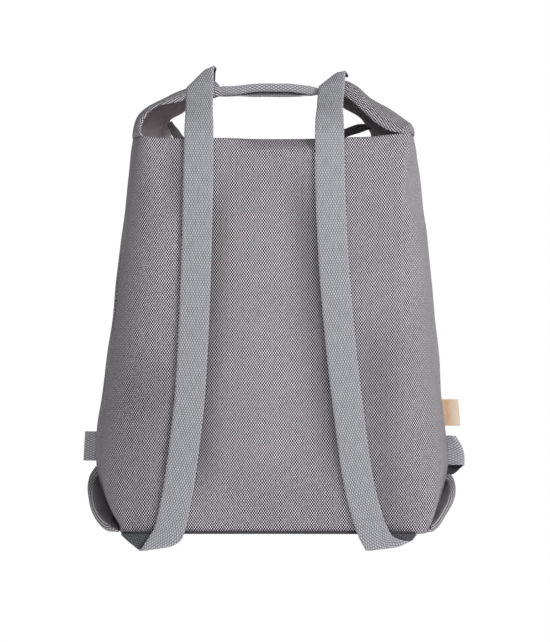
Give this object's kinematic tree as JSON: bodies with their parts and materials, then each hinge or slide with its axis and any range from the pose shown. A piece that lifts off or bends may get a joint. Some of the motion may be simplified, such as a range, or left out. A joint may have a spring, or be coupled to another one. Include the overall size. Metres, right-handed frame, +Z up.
{
  "type": "travel backpack",
  "caption": "Soft woven backpack that hangs from a folded webbing handle between cloth ears, with flat webbing shoulder straps, side tabs, a leather label and a recessed zip.",
  "frame": {"origin": "centre of the underside of the base", "axes": "+Z up along the bag's height, +X to the right as the shoulder-strap side is seen, -Y towards the wearer's back"},
  "size_m": [0.3928, 0.1386, 0.4911],
  "materials": {
    "body_fabric": "coated two-tone basket weave",
    "webbing": "woven cotton-look webbing",
    "binding_tape": "ribbed tape",
    "leather": "natural vegetable-tanned",
    "zip_tape": "fine herringbone tape",
    "zip_chain": "nylon coil",
    "zip_metal": "dark nickel",
    "thread": "bonded thread",
    "base_board": "flexible board"
  },
  "bodies": {
    "bag": {"back_panel": "body_fabric", "front_panel": "body_fabric", "base_panel": "body_fabric", "base_board": "base_board", "rim_hem_back": "body_fabric", "rim_hem_front": "body_fabric", "seam_binding_left": "binding_tape", "seam_binding_right": "binding_tape", "ear_left": "body_fabric", "ear_right": "body_fabric", "strap_tail_left": "webbing", "strap_tail_right": "webbing", "bar_tacks": "thread", "side_tab_left": "webbing", "side_loop_right": "webbing", "leather_label": "leather", "zip_flap_back": "body_fabric", "zip_flap_front": "body_fabric", "zip_tape_back": "zip_tape", "zip_tape_front": "zip_tape", "zip_coil_back": "zip_chain", "zip_coil_front": "zip_chain", "coil_stops": "zip_metal", "zip_tail_left": "zip_tape", "zip_tail_right": "zip_tape"},
    "strap_left": {"strap_left": "webbing"},
    "strap_right": {"strap_right": "webbing"},
    "handle": {"grab_handle": "webbing"},
    "slider": {"zip_slider": "zip_metal"},
    "pull": {"zip_pull": "zip_metal"}
  },
  "joints": [
    {"name": "strap_left_swing", "type": "hinge", "parent": "bag", "child": "strap_left", "pos_m": [0, 0, 0.45], "axis": [-1, 0, 0], "range_deg": [0, 20]},
    {"name": "strap_right_swing", "type": "hinge", "parent": "bag", "child": "strap_right", "pos_m": [0, 0, 0.45], "axis": [-1, 0, 0], "range_deg": [0, 20]},
    {"name": "handle_swing", "type": "hinge", "parent": "bag", "child": "handle", "pos_m": [0, 0, 0.4525], "axis": [1, 0, 0], "range_deg": [-50, 50]},
    {"name": "zip_slide", "type": "slide", "parent": "bag", "child": "slider", "axis": [-1, 0, 0], "range_m": [0, 0.114]},
    {"name": "pull_flip", "type": "hinge", "parent": "slider", "child": "pull", "pos_m": [0.057, 0, 0.3858], "axis": [0, 1, 0], "range_deg": [0, 150]}
  ]
}
